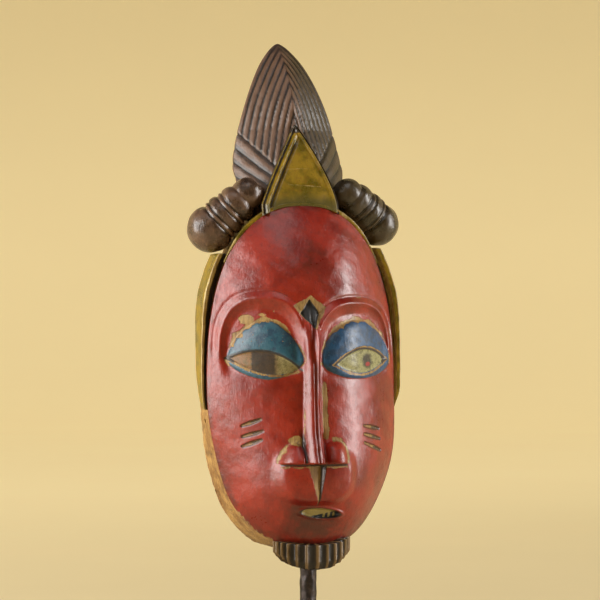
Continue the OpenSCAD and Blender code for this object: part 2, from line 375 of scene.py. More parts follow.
def bare_wood():
    f = Finish("bare_ochre_wood")
    f.colour = bare_colour(f, (186, 146, 84), (120, 80, 36))
    dirt = f.step(f.noise(9, 5.0, 0.65), 0.5, 0.72)
    f.over((70, 44, 20), f.times(dirt, 0.55))
    cuts = f.cells(9, (1, 1, 2.2))
    f.relief((cuts, 0.6), (f.noise(1.0, 4.0, 0.6, (1, 1, 9)), 0.25))
    return f.done(f.step(dirt, 0, 1, 0.62, 0.5))


def face_paint():
    f = Finish("red_face_paint")
    patches = f.noise(26, 5.0, 0.6)
    fine = f.noise(2.2, 5.0, 0.65)
    streaks = f.noise(0.9, 4.0, 0.6, (1, 1, 8))
    red = f.layer((116, 20, 7), (152, 36, 14), f.step(patches, 0.36, 0.64))
    red = f.layer(red, (108, 22, 14), f.times(f.step(fine, 0.5, 0.7), 0.6))
    red = f.layer(red, (168, 80, 62), f.times(f.step(streaks, 0.58, 0.74), 0.25))
    # Darker patches: patina by the mouth and chin, and painted shade at the top of the forehead and towards
    # the face's edge
    cloud = f.times(f.sum(f.noise(7, 6.0, 0.7), -0.5), 1.6)
    grime_and_shade = f.times(f.step(f.sum(f.field("grime_and_shade"), cloud), 0.2, 1.0), 0.8)
    red = f.layer(red, (66, 26, 10), grime_and_shade)
    f.colour = f.layer(red, (58, 16, 10), f.spots(0.70, 0.76, 0.75, 0.8, 2.0, 0.4))
    # Blue lids: greener on the mask's right, cleaner on its left, chipped to wood and to red
    blue = f.layer((30, 84, 104), (8, 72, 118), f.step(f.axis("X"), -0.02, 0.02))
    blue = f.layer(blue, (10, 46, 74), f.spots(0.42, 0.62, 0.75, 5, 5.0, 0.6))
    blue = f.layer(blue, (120, 140, 140), f.spots(0.6, 0.75, 0.35, 1.4, 4.0, 0.6))
    on_lid = f.ragged(f.field("lid"), 1.0, 5)
    f.over(blue, on_lid)
    # Bare wood where the paint is gone
    wood = bare_colour(f, (168, 136, 76), (122, 90, 44))
    gone = f.ragged(f.field("worn"), 1.5, 4)
    chips = f.times(f.step(f.noise(1.5, 4.0, 0.6), 0.665, 0.70), f.step(f.field("chips"), 0.2, 0.8))
    gone = f.sum(gone, chips, "MAXIMUM")
    f.over(wood, gone)
    # Eyes
    white = f.layer((128, 90, 46), (156, 156, 104), f.field("pale"))
    white = f.layer(white, (92, 84, 34), f.spots(0.45, 0.65, 0.7, 2.5, 4.0, 0.7))
    white = f.layer(white, (44, 38, 20), f.spots(0.58, 0.66, 0.6, 0.55, 2.0, 0.5))
    in_eye = f.ragged(f.field("eye"), 0.25, 2, 0.2)
    f.over(white, in_eye)
    iris = f.layer((24, 15, 7), (48, 34, 14), f.step(f.noise(3, 4.0), 0.4, 0.65))
    f.over(iris, f.times(f.ragged(f.field("iris"), 0.6, 2.5, 0.55), 0.88))
    f.over((150, 40, 30), f.ragged(f.field("red_spot"), 0.5, 2, 0.4))
    # Mouth, sunk diamond and dark lines: painted outlines, and painted shadow along the brows' creases, under
    # the lids' edges and along and under the nose
    teeth = f.layer((20, 32, 44), (158, 142, 84), f.ragged(f.field("teeth"), 0.7, 2, 0.3))
    f.over(teeth, f.ragged(f.field("mouth"), 0.3, 2, 0.25))
    f.over((18, 20, 26), f.ragged(f.field("diamond"), 0.2, 2, 0.2))
    f.over((30, 18, 12), f.times(f.ragged(f.field("line"), 0.35, 1.6, 0.35), 0.92))
    rubbed = f.sum(f.step(patches, 0.35, 0.65, 0.27, 0.36), f.step(fine, 0.4, 0.7, 0.0, 0.08))
    gloss = f.sum(rubbed, f.sum(f.times(gone, 0.28), f.sum(f.times(on_lid, 0.08), f.times(in_eye, 0.3))))
    f.relief((f.times(f.sum(gone, -1.0), -1.0), 0.25), (f.noise(7, 4.0, 0.5), 0.5), (streaks, 0.12),
             (f.noise(0.7, 3.0, 0.6), 0.05))
    return f.done(gloss, coat=0.25, coat_rough=0.24, specular=0.55)


def hair_stain(name, deep, pale, ridge, groove, right_shade_share, dull=0.34, coat=0.12):
    f = Finish(name)
    patches = f.noise(12, 5.0, 0.6)
    streaks = f.noise(0.9, 4.0, 0.6, (1, 1, 8))
    f.colour = f.layer(deep, pale, f.step(patches, 0.36, 0.66))
    f.over(ridge, f.times(f.step(streaks, 0.55, 0.72), 0.35))
    rubbed = f.ragged(f.field("rubbed"), 0.35, 3, 0.4)
    f.over(ridge, f.times(rubbed, 0.62))
    # Painted shade: everything on the side X > 0, such as the crest's right flank and the right bun, is
    # darkened to an olive brown
    olive = f.step(f.axis("X"), 0.0, 0.012)
    f.over((46, 40, 20), f.times(olive, right_shade_share))
    f.over(groove, f.ragged(f.field("line"), 0.15, 3, 0.3))
    f.relief((streaks, 0.2), (f.noise(6, 3.0), 0.5), (f.cells(11, (1, 1, 2)), 0.3))
    return f.done(f.step(patches, 0.35, 0.65, dull, dull + 0.14), coat=coat, coat_rough=0.25)


def yellow_paint():
    f = Finish("olive_yellow_paint")
    patches = f.noise(10, 5.0, 0.6)
    f.colour = f.layer((98, 84, 8), (146, 118, 10), f.step(patches, 0.36, 0.62))
    f.over((128, 84, 10), f.spots(0.5, 0.7, 0.5, 4, 5.0, 0.65))
    # Olive-dark grime and painted shade where the trim meets other parts: at the panel's foot, where the band
    # passes the panel and along its outer side, and at the plates' fronts
    f.over((84, 78, 34), f.times(f.ragged(f.field("grime_and_shade"), 0.6, 6, 0.7), 0.85))
    wood = bare_colour(f, (200, 178, 116), (150, 122, 64))
    f.over(wood, f.ragged(f.field("worn"), 0.5, 4, 0.3))
    f.over((66, 52, 12), f.spots(0.64, 0.72, 0.55, 1.1, 3.0, 0.5))
    f.over((44, 32, 14), f.ragged(f.field("line"), 0.3, 3, 0.35))
    f.relief((f.noise(5, 4.0), 0.4), (f.noise(0.9, 4.0, 0.6, (1, 1, 8)), 0.12))
    return f.done(f.step(patches, 0.35, 0.65, 0.27, 0.4), coat=0.2, coat_rough=0.22)


def forged_iron():
    f = Finish("blackened_forged_iron")
    scale = f.noise(5, 5.0, 0.65)
    f.colour = f.layer((38, 33, 32), (72, 62, 58), f.step(scale, 0.4, 0.65))
    f.over((88, 56, 40), f.spots(0.56, 0.70, 0.5, 2.4, 6.0, 0.7))
    f.relief((f.cells(5), 0.35), (f.noise(1.2, 4.0), 0.12))
    return f.done(f.step(scale, 0.35, 0.7, 0.36, 0.58), metal=0.55)


def screw_steel():
    f = Finish("dull_screw_steel")
    marks = f.noise(0.8, 4.0, 0.6, (6, 1, 1))
    f.colour = f.layer((118, 112, 104), (160, 154, 146), f.step(marks, 0.4, 0.6))
    f.over((70, 56, 44), f.spots(0.55, 0.7, 0.6, 1.6, 5.0, 0.7))
    f.relief((marks, 0.04))
    return f.done(f.step(marks, 0.4, 0.6, 0.32, 0.46), metal=0.9)


def stained_base():
    f = Finish("stained_base_wood")
    grain = f.noise(1.5, 5.0, 0.6, (12, 1, 1))
    rings = f.noise(14, 3.0, 0.5, (5, 1, 1))
    f.colour = f.layer((30, 19, 13), (66, 43, 29), f.step(f.sum(grain, rings), 0.8, 1.2))
    pores = f.step(f.noise(0.6, 2.0, 0.5, (16, 1, 1)), 0.6, 0.7)
    f.over((16, 10, 7), f.times(pores, 0.8))
    f.relief((grain, 0.12), (pores, -0.1))
    return f.done(f.step(grain, 0.4, 0.6, 0.36, 0.48), coat=0.15)


def wool_felt():
    f = Finish("grey_green_felt")
    fibre = f.noise(0.35, 6.0, 0.75)
    f.colour = f.layer((28, 32, 29), (62, 68, 62), f.step(fibre, 0.35, 0.65))
    f.relief((fibre, 0.35))
    return f.done(0.95, sheen=0.5)


WOOD, FACE, YELLOW = bare_wood(), face_paint(), yellow_paint()
HAIR = hair_stain("dark_hair_stain", (44, 31, 24), (80, 58, 44), (122, 92, 72), (14, 10, 7), 0.75)
BUN = hair_stain("bun_stain", (50, 36, 28), (94, 70, 54), (138, 108, 86), (14, 10, 7), 0.75, 0.22, 0.35)
BEARD = hair_stain("beard_stain", (46, 33, 18), (78, 58, 32), (138, 110, 68), (22, 15, 8), 0.0)
IRON, STEEL, BASE, FELT = forged_iron(), screw_steel(), stained_base(), wool_felt()

# ---- Painted face ----

NOSE_X = -4.7
NOSE_BASE_Z = CHIN_Z + 57.5
LEVEL = CHIN_Z + 125
# Each eye: middle, half length, how far its line rises and falls, its slope, and the iris's sides
EYES = {
    -1: dict(x=-34.1, z=LEVEL - 1.1, half=21.6, up=8.4, down=7.0, slope=-0.17, iris=(-42.5, -28.3)),
    1: dict(x=34.0, z=LEVEL - 0.2, half=22.3, up=8.9, down=7.6, slope=0.063, iris=(30.0, 46.0)),
}
# Each lid, each brow and the mouth: middle, half width, reach upwards and downwards, fullness
LIDS = {-1: (-33.2, LEVEL + 1, 22.3, 27, 12.6, 1.65), 1: (31.4, LEVEL, 29.4, 27.6, 11.4, 1.9)}
BROWS = {-1: (-35.0, LEVEL + 3, 25.5, 40, 34, 2.6), 1: (29.5, LEVEL + 3, 31.5, 36.4, 34, 2.6)}
DIAMOND = ((-5.4, 272.1), (1.0, 262.7), (-3.4, 252.0), (-12.2, 262.3))
BARE_ROUND_DIAMOND = ((-4.0, 275.0), (6.8, 266.6), (-2.2, 250.6), (-14.2, 262.6), (-17.6, 267.8))
SCARS = (
    ((-47.6, 187.4), (-37.6, 191.8)), ((-47.0, 180.2), (-36.4, 184.0)), ((-46.8, 173.6), (-37.2, 178.2)),
    ((34.4, 186.8), (48.4, 184.2)), ((34.4, 181.2), (49.4, 177.2)), ((34.2, 175.4), (50.2, 169.4)),
)
# Patches: the middle, the size and how much wider than high; the dark ones, patina by the mouth and chin and
# painted shade at the top of the forehead, start at the chin and have a share
GRIME_AND_SHADE_PATCHES = ((1, 14, 13, 1.9, 0.95), (-12, 27, 7, 2.2, 0.5), (-2, 195, 20, 1.1, 0.5), (22, 30, 5, 1.2, 0.6))
RUBBED = (
    (-49.5, 248, 3.2, 1.2), (-44, 258.5, 4.4, 1.3), (-52.5, 241, 2.0, 0.8), (-28, 264, 1.4, 0.8),
    (-35, 261.5, 1.8, 2.5),
)
# How deep or high things are carved
SOCKET_DEPTH, BROW_LIP, LID_SWELL, EYE_DEPTH = 4.0, 1.7, 5.2, 1.5
MUZZLE_SWELL, MOUTH_DEPTH, SCAR_DEPTH, DIAMOND_DEPTH = 4.2, 2.2, 1.3, 1.7
MOUTH = (1.6, CHIN_Z + 24.2, 13.8, 3.5, 3.3, 2.0)


def reach_of(x, z, oval):
    """0 at an oval's middle and 1 on its line."""
    cx, cz, half, up, down, power = oval
    high = np.where(z > cz, up, down)
    return (abs((x - cx) / half) ** power + abs((z - cz) / high) ** power) ** (1 / power)


def inside_eye(x, z, eye):
    """Millimetres inside an eye's line, and the same for its upper line alone."""
    across = (x - eye["x"]) / eye["half"]
    level = eye["z"] + eye["slope"] * (x - eye["x"])
    bow = 1 - across ** 2
    upper = level + eye["up"] * bow - z
    lower = z - level + eye["down"] * bow
    lean = np.sqrt(1 + (2 * across * eye["up"] / eye["half"]) ** 2)
    return np.minimum(upper, lower) / lean, upper / lean


def inside_corners(x, z, corners):
    """Millimetres inside a shape whose corners go round clockwise."""
    inside = np.full_like(x, 99.0)
    for (x0, z0), (x1, z1) in zip(corners, corners[1:] + corners[:1]):
        length = math.hypot(x1 - x0, z1 - z0)
        inside = np.minimum(inside, ((z1 - z0) * (x - x0) - (x1 - x0) * (z - z0)) / length)
    return inside


def from_stroke(x, z, ends):
    """Millimetres from a straight stroke, and how far along it the nearest point is."""
    (x0, z0), (x1, z1) = ends
    along = unit(((x - x0) * (x1 - x0) + (z - z0) * (z1 - z0)) / ((x1 - x0) ** 2 + (z1 - z0) ** 2))
    return np.hypot(x - mix(x0, x1, along), z - mix(z0, z1, along)), along


def carve_face(x, z, reach):
    """What is carved and painted on the dome: its height in millimetres over it, and the paint's fields."""
    height = 0.35 * uneven(x, z, 46) + 0.15 * uneven(z, x, 17)
    fields = {name: np.full_like(x, -9.0) for name in ("worn", "line", "eye", "lid", "iris")}
    fields.update({name: np.zeros_like(x) for name in ("pale", "chips", "grime_and_shade")})

    def mark(name, inside, where=True):
        """Widens a field by another shape, given as millimetres inside it, where the condition holds."""
        fields[name] = np.maximum(fields[name], np.where(where, inside, -9.0))

    # Sockets under arched brows, each with a raised lip and a crease over it
    over = soft((z - LEVEL + 4) / 16)
    for side, brow in BROWS.items():
        q = reach_of(x, z, brow)
        height -= SOCKET_DEPTH * soft((1 - q) / 0.24) * soft((z - LEVEL + 17) / 24)
        carved = 1.0 if side > 0 else 0.6
        height += BROW_LIP * carved * hump(q - 1.0, 0.05) * over
        height -= carved * hump(q - 1.12, 0.035) * over
        shaded = soft((x - brow[0] + 6) / 10) * over
        # Painted shadow: a dark line along each brow's crease, only on its side turned from the left light
        mark("line", 0.1 - 30 * abs(q - 1.115) - 3 * (1 - shaded))
        mark("worn", -0.4 - 30 * abs(q - 1.10) - 3 * (1 - shaded) + 0.9 * uneven(x, z, 21))
    # Lids and eyes
    for side, lid in LIDS.items():
        eye = EYES[side]
        q = reach_of(x, z, lid)
        inside, under_lid = inside_eye(x, z, eye)
        height += LID_SWELL * np.sqrt(unit(1 - q ** 2)) * mix(1, 0.72, soft((LEVEL - z) / 8))
        height -= EYE_DEPTH * soft((inside + 0.2) / 1.6) + 0.5 * hump(inside + 0.2, 0.9)
        lid_in = (1 - q) * 23
        mark("lid", lid_in)
        ring = 0.35 - abs(lid_in + 0.6) + 0.9 * uneven(x, z, 13) + 0.9 * soft((z - lid[1] - 14) / 10)
        mark("worn", ring, z > eye["z"] - 2)
        eye_rim = 0.75 - abs(inside + (0.9 if side > 0 else 0.495))
        mark("worn", eye_rim, (under_lid > 0.8) | (side > 0))
        mark("eye", inside - 0.35)
        left, right = eye["iris"]
        if side < 0:
            mark("iris", np.minimum(np.minimum(x - left, (right - x) * 0.35), inside - 0.3))
        else:
            away = np.hypot(x - mix(left, right, 0.5), (z - eye["z"] - 0.8) * 0.9)
            mark("iris", np.minimum((4.6 - away) * 0.3, inside - 0.3))
            spot = 1.5 - np.hypot((x - mix(left, right, 0.52)) / 1.4, z - eye["z"] + 1.6)
        # Painted shadow: a dark line along each eye's upper line, under the lid's edge
        mark("line", np.minimum(0.75 - abs(under_lid + 0.1), inside + 1.4))
        outer = eye["x"] + side * eye["half"]
        mark("line", np.minimum(2.4 - abs(x - outer + side * 1.5), 1.1 - abs(inside - 0.2)))
        paleness = 0.9 if side > 0 else 0.62 * soft((x + 33) / 10)
        fields["pale"] = np.where(side * x > 0, paleness, fields["pale"])
        share = 0.9 if side < 0 else 0.55
        mark("chips", share * soft(lid_in / 2) * mix(0.5, 1, soft((z - lid[1] - 8) / 10)))
    # Nose: a ridge with a slightly hollow front and a sharp edge, between two lobes, cut off flat underneath
    dx = x - NOSE_X - 0.4 * np.sin((z - 160) / 30)
    above = soft((z - NOSE_BASE_Z + 0.1) / 1.1)
    ridge_h = np.interp(z, [NOSE_BASE_Z, 185, 205, 245, 258, 268], [8.4, 7.2, 6.2, 4.8, 2.6, 0])
    foot = np.interp(z, [NOSE_BASE_Z, 200, 250], [7.6, 6.6, 5.6])
    down_left = unit((-dx - 1.8) / (foot - 1.2)) ** 1.7
    down_right = unit((dx - 2.5) / (foot - 3.4))
    ridge = ridge_h * (1 - np.where(dx < 0, down_left, down_right))
    ridge = ridge + (0.8 * hump(dx - 2.3, 0.8) - 1.3 * hump(dx - 0.2, 1.3)) * soft(ridge_h / 3)
    lobes = [
        (reach_of(x, z, (-17.4, NOSE_BASE_Z + 1.2, 9.8, 13.0, 9, 1.45)), 6.6),
        (reach_of(x, z, (9.4, NOSE_BASE_Z + 5.5, 8.0, 9.6, 12, 2.6)), 7.4),
    ]
    nose = ridge
    for q, lobe_h in lobes:
        nose = np.maximum(nose, lobe_h * unit(1 - q ** 2.2) ** 0.55)
    height += np.maximum(nose, 0) * above
    beside = soft((NOSE_BASE_Z + 26 - z) / 12) * above
    height -= 1.8 * (hump(dx + foot + 0.4, 1.1) + 0.8 * hump(dx - foot + 0.6, 1.0)) * beside
    # Paint by the nose, with painted shadow along its left foot and under its flat underside
    low = soft((LEVEL - 6 - z) / 10) * soft((z - NOSE_BASE_Z - 14) / 3)
    mark("worn", 1.9 - abs(dx - foot - 1.4) - 6 * (1 - low) + 0.6 * uneven(z, x, 19))
    mark("worn", 0.1 - abs(dx + foot - 0.3) - 5 * (1 - low) + 0.5 * uneven(z, x, 26))
    # Painted shadow: a dark line along the nose's left foot, in the crease by the cheek
    mark("line", 0.9 - abs(dx + foot + 0.2) - 3.5 * (1 - soft((LEVEL - 34 - z) / 20) * above))
    for outside, q, edge in ((dx < -foot - 0.5, lobes[0][0], 0.6), (dx > foot + 5, lobes[1][0], 1.0)):
        ring = edge - abs((q - 1.1) * 9) * 0.8 + 0.6 * uneven(z, x, 11)
        mark("worn", ring, outside & (z > NOSE_BASE_Z))
    mark("worn", 3.2 - np.hypot((x + 16.5) / 1.5, z - NOSE_BASE_Z - 15.5), dx < -foot)
    in_nose = (x > -27.2) & (x < 18)
    mark("worn", 0.5 - abs(z - NOSE_BASE_Z + 1.9 - 0.5 * uneven(x, z, 12)), in_nose)
    # Painted shadow: a dark line along the underside of the nose
    mark("line", 0.7 - abs(z - NOSE_BASE_Z + 0.6), in_nose)
    # Groove under the nose: a wide bare facet on one side, a narrow dark one on the other
    t = unit((z - CHIN_Z - 29.4) / 26.5)
    centre, left, right = -1.9 + 1.2 * t, -1.9 - 8.0 * t, -1.9 + 4.2 * t
    run = np.where(x < centre, centre - left, right - centre)
    facet = np.where(x < centre, x - left, right - x) / np.maximum(run, 0.3)
    in_groove = (z < NOSE_BASE_Z - 0.5) & (t > 0)
    height -= np.where(in_groove, 3.0 * t ** 0.7 * unit(facet), 0)
    mark("worn", (x - left) * 0.9, in_groove & (x < centre + 0.5))
    mark("line", 0.8 * np.minimum(right - x, x - centre + 0.8), in_groove & (x >= centre - 0.6))
    # Muzzle, mouth and chin
    muzzle = reach_of(x, z, (-2.5, CHIN_Z + 49, 29, 26, 20, 2.7))
    height += MUZZLE_SWELL * (1 - soft((muzzle - 0.74) / 0.30)) * mix(1, 0.4, soft((z - NOSE_BASE_Z) / 10))
    height -= 1.2 * hump(np.hypot(x - 1, (z - CHIN_Z - 17) * 1.9), 17)
    mouth_z = z + 0.085 * (x - MOUTH[0])
    q = reach_of(x, mouth_z, MOUTH)
    mouth = (1 - q) * 5.0
    height += 0.9 * hump(q - 1.12, 0.14) - MOUTH_DEPTH * soft((1 - q) / 0.2)
    slant = (z - MOUTH[1]) * 1.3 - (x - MOUTH[0]) * 0.26 + 1.0
    strokes = np.where(x > MOUTH[0] + 1.5, 1.1 * np.cos((x - 8) * 2 * math.pi / 3.4) - 0.1, -9)
    teeth = np.maximum(slant, np.minimum(strokes, mouth - 0.9))
    mark("line", 0.35 - abs(mouth + 0.1))
    for px, pz, size, squash, share in GRIME_AND_SHADE_PATCHES:
        fields["grime_and_shade"] += share * hump(np.hypot((x - px) / squash, z - CHIN_Z - pz), size)
    # Scars, and the sunk diamond with bare wood round it
    for ends in SCARS:
        away, along = from_stroke(x, z, ends)
        half = 0.45 + 0.55 * np.sin(np.pi * np.clip(along, 0.08, 0.92))
        height -= SCAR_DEPTH * soft((half + 0.5 - away) / 1.1)
        mark("worn", (half - away) * 1.6)
        mark("line", 0.37 - abs(away - half - 0.35))
        mark("line", 0.55 * half - away - 1.2 * (1 - soft((along - 0.3) / 0.3)))
    diamond = inside_corners(x, z, DIAMOND)
    height -= DIAMOND_DEPTH * soft((diamond + 0.25) / 0.9)
    height += 0.9 * ((diamond > 0) & (diamond < 2.2) & (x > -1.2) & (z < 262))
    mark("worn", inside_corners(x, z, BARE_ROUND_DIAMOND) - 0.6)
    # Bare patches over the lid and on the brow, and the rubbed lower edge of the face
    for px, pz, size, squash in RUBBED:
        mark("worn", size - np.hypot((x - px) / squash, z - pz) - 0.9)
    edge = soft((CHIN_Z + 62 - z) / 40)
    mark("worn", mix(-9, (reach - 0.985) * 50 - 0.5, edge))
    # Painted shade and grime: darker towards the face's edge, where it meets the rim
    fields["grime_and_shade"] += 0.6 * soft((reach - 0.93) / 0.07)
    fields.update(red_spot=spot, mouth=mouth, teeth=teeth, diamond=diamond)
    return height, fields


def painted_face():
    """A finely divided dome, its edge turned back over the rim, closed by the hollow behind."""
    bm = bmesh.new()
    bmesh.ops.create_grid(bm, x_segments=196, y_segments=330, size=1)
    p = coords(bm)
    u, v = p[:, 0], p[:, 1]
    across, up = u * np.sqrt(1 - v * v / 2), v * np.sqrt(1 - u * u / 2)
    turn, reach = np.arctan2(up, across), np.hypot(across, up)
    x, z = on_oval(turn, reach, FACE_OVAL)
    shifted = x + cheek_shift(z)
    height, fields = carve_face(shifted, z, reach)
    fade = soft((1 - reach) / 0.03)
    put(bm, shifted, PARTING_Y - dome(turn, reach, z) - height * fade, z)
    outer_count = len(bm.verts)
    edges = [e for e in bm.edges if e.is_boundary]

    def extrude(edges, oval, place):
        made = bmesh.ops.extrude_edge_only(bm, edges=edges)["geom"]
        verts = [g for g in made if isinstance(g, bmesh.types.BMVert)]
        q = np.array([v.co for v in verts])
        turns = turn_on_oval(q[:, 0] - cheek_shift(q[:, 2]), q[:, 2], oval)
        for vert, point in zip(verts, np.stack(np.broadcast_arrays(*place(turns)), 1)):
            vert.co = point
        return [g for g in made if isinstance(g, bmesh.types.BMEdge)], verts

    def loop(oval, reach, back=None):
        def place(turns):
            x, z = on_oval(turns, reach, oval)
            flat = PARTING_Y - edge_forward(rise_of(turns))
            if back is not None:
                return x + cheek_shift(z), flat + back, z
            chisel = 0.5 * uneven(x, z, 14) * soft((1 - reach) / 0.2)
            return x + cheek_shift(z), PARTING_Y - dome(turns, reach, z, 13) - chisel, z
        return place

    edges, verts = extrude(edges, FACE_OVAL, loop(FACE_OVAL, 1.0, 0.5 * LIP))
    inset = tuple(size - 0.5 for size in FACE_OVAL)
    edges, verts = extrude(edges, FACE_OVAL, loop(inset, 1.0, LIP))
    edges, verts = extrude(edges, inset, loop(HOLLOW_OVAL, 1.0, LIP))
    steps = 14
    for k in range(1, steps):
        edges, verts = extrude(edges, HOLLOW_OVAL, loop(HOLLOW_OVAL, 1 - k / steps))
    bmesh.ops.pointmerge(bm, verts=verts, merge_co=Vector(np.mean([v.co for v in verts], 0)))
    bm.verts.index_update()
    for face in bm.faces:
        face.material_index = 1 if min(v.index for v in face.verts) >= outer_count else 0
    empty = {"pale": 0.0, "chips": 0.0, "grime_and_shade": 0.3}
    rest = len(bm.verts) - outer_count
    fields = {k: np.concatenate([a, np.full(rest, empty.get(k, -9.0))]) for k, a in fields.items()}
    make_piece("painted_face", bm, (FACE, WOOD), "mask", ("face",), fields)


# ---- Bare rim ----


def bare_rim():
    """The wall behind the face, solid in the chin, with tying holes and the rod's socket."""
    def place(turn, section):
        p, q = squared(section, 22)
        depth = (q + 1) / 2
        fx, fz = on_oval(turn, 1.0, tuple(size - 0.7 for size in FACE_OVAL))
        bx, bz = on_oval(turn, 1.0, BACK_OVAL)
        ix, iz = on_oval(turn, 1.0, HOLLOW_OVAL)
        share = (1 - p) / 2
        x = mix(mix(fx + cheek_shift(fz), bx, depth), ix + cheek_shift(iz) * (1 - depth), share)
        z = mix(mix(fz, bz, depth), iz, share)
        front = PARTING_Y + LIP - edge_forward(rise_of(turn))
        y = mix(front, BACK_Y, depth)
        chips = 0.45 * uneven(fz + fx, y, 13) + 0.25 * uneven(y, fz - fx, 6)
        shave = np.where(abs(p) > 0.5, chips * abs(p), 0) * soft((y - front - 1) / 3)
        round_off = 1.6 * soft((y - BACK_Y + 3) / 3) * (p > 0.5)
        x = x - (shave + round_off) * np.cos(turn) * np.sign(p)
        z = z - (shave + round_off) * np.sin(turn) * np.sign(p)
        return x, y - np.where(q > 0.6, abs(chips), 0), z

    rim = make_piece("bare_rim", ring_skin(260, 60, place), WOOD, "mask",
                     ("chin_block", "left_rim", "right_rim", "crown_block"))
    holes = [((ROD_X, ROD_Y, CHIN_Z - 12), (ROD_X, ROD_Y, rod_high.z + 0.2), ROD_HOLE_R, ROD_HOLE_R)]
    for mount in frame["record"]["mounts"]:
        if mount["kind"] == "bore":
            middle, axis = Vector(mount["pos_m"]) / MM, Vector(mount["axis"])
            reach = axis * (mount["dims"]["length_mm"] / 2 + 6)
            holes.append((middle - reach, middle + reach, mount["dims"]["r_mm"], mount["dims"]["r_mm"]))
    drill(rim, holes)


# ---- Hair ----

# How far apart strands and rolls are; the crest's widest level, the end of the combing, the panel's top
COMB, ROLL = 4.1, 10.3
FULL_Z, COMB_END, PANEL_TOP = HAIR_Z + 26, HAIR_Z + 51, HAIR_Z + 53


def crest_half(z):
    up = unit((z - FULL_Z) / (crest_high.z - FULL_Z))
    foot = mix(0.9, 1, (z - crest_low.z) / (FULL_Z - crest_low.z))
    return crest_high.x * np.where(z < FULL_Z, foot, (1 - up ** 1.3) ** 0.62)


def crest_front(z):
    lean = (z - HAIR_Z) / (PANEL_TOP - HAIR_Z)
    over = unit((z - PANEL_TOP) / (crest_high.z - PANEL_TOP))
    return np.where(z < PANEL_TOP, mix(-5.0, 12.5, lean), mix(12.5, crest_high.y, over ** 1.9))


def crest():
    """A leaf-shaped crest with a keel in front, combed down both flanks, over slanting rolls."""
    store = {}

    def place(turn, share):
        z = mix(crest_low.z, crest_high.z, np.sin(unit(share) * math.pi / 2) ** 0.9)
        half = crest_half(z)
        front = crest_front(z)
        rear = mix(BACK_Y - 2, crest_high.y, soft((z - crest_low.z) / 50))
        mid = mix(front, rear, 0.6)
        c, s = np.cos(turn), np.sin(turn)
        across = abs(c)
        keel = mix(1.8, 1.12, soft((z - HAIR_Z - 34) / 30))
        y = np.where(s < 0, mid - (mid - front) * (1 - across ** keel), mid + (rear - mid) * abs(s) ** 0.8)
        inward = half * (1 - across)
        level = z + inward
        combed = level > COMB_END
        strand = abs(np.cos(np.pi * (inward + 0.35 * np.sin(z / 9)) / COMB))
        roll = abs(np.sin(np.pi * (level - COMB_END) / ROLL))
        fade = soft((half - 3) / 8) * soft((crest_high.z - 4 - z) / 14)
        low = soft((z - HAIR_Z - 2) / 6)
        raised = np.where(combed, 1.5 * strand ** 0.45 * fade, 1.5 * roll ** 0.4 * low) - 1.0
        raised = raised - 1.0 * hump(level - COMB_END, 0.9)
        store["line"] = np.where(combed, (0.27 - strand) * 2.2 * fade, (0.24 - roll) * 3 * low - 0.1)
        # Painted highlight and rubbed wear: paler colour along the strands' and rolls' crests on the front
        lit = np.where(combed, (strand - 0.62) * 1.6, (roll - 0.72) * 2.4 - 0.2)
        store["rubbed"] = lit - 1.5 * (s > 0.1)
        x = half * c * np.where(c > 0, 1.045, 0.985)
        grow = raised / np.maximum(half, 4) * mix(1, 0.4, across ** 4)
        return x * (1 + grow), mid + (y - mid) * (1 + raised / 24), z

    make_piece("combed_crest", pole_skin(264, 300, place), HAIR, "mask", ("hair_crest",), store)


def bun(side):
    """A ball and two thick rolls on one line, with thin raised ridges between them."""
    name, ball_x, radius = ("left", 59.6, 16.2) if side < 0 else ("right", 60.4, 15.2)
    ball = np.array([ball_x, PARTING_Y + 16, box_mm(name + "_bun")[0].z + radius])
    root = np.array([32.0, PARTING_Y + 7, HAIR_Z + 11.5])
    run = np.linalg.norm(ball - root)
    along = (ball - root) / run
    across = np.cross(along, (0, 1, 0))
    across /= np.linalg.norm(across)
    depth = np.cross(across, along)
    # Each lump: its middle along the line, radius, half length and squareness
    lumps = (
        (run, radius, radius, 2), (run - 13, 14.6, 9.4, 2.6), (run - 24, 13.4, 8.6, 2.6), (6, 11, 11, 2.2),
    )
    ridges = (run - 8.6, run - 19.2)
    store = {}

    def place(turn, share):
        s = mix(-4.0, run + radius, (1 - np.cos(share * math.pi)) / 2)
        r = np.zeros_like(s)
        for middle, size, half, power in lumps:
            r = np.maximum(r, size * unit(1 - abs((s - middle) / half) ** power) ** (1 / power))
        wander = s + 0.9 * np.sin(turn + 0.8) + 0.5 * np.sin(2 * turn)
        cords = sum(hump(wander - at, 0.85) for at in ridges)
        gaps = sum(hump(wander - at - 1.9, 0.7) + hump(wander - at + 1.9, 0.7) for at in ridges)
        facets = 0.3 * uneven(turn * 7, s, 11) * np.minimum(r / 6, 1)
        r = np.maximum(r + facets + (0.9 * cords - 0.8 * gaps) * (r > 5), 0)
        store["rubbed"] = np.maximum(cords * 1.6 - 0.8, 0.2 * uneven(turn * 9, s * 0.4, 13) - 0.25)
        store["line"] = gaps * 1.3 - 1.0
        point = ball + np.outer(s - run, along)
        point += np.outer(r * np.cos(turn), across) + np.outer(r * 0.97 * np.sin(turn), depth)
        return side * point[:, 0], point[:, 1], point[:, 2]

    bm = pole_skin(96, 150, place)
    make_piece(name + "_side_bun", bm, BUN, "mask", (name + "_bun",), store)


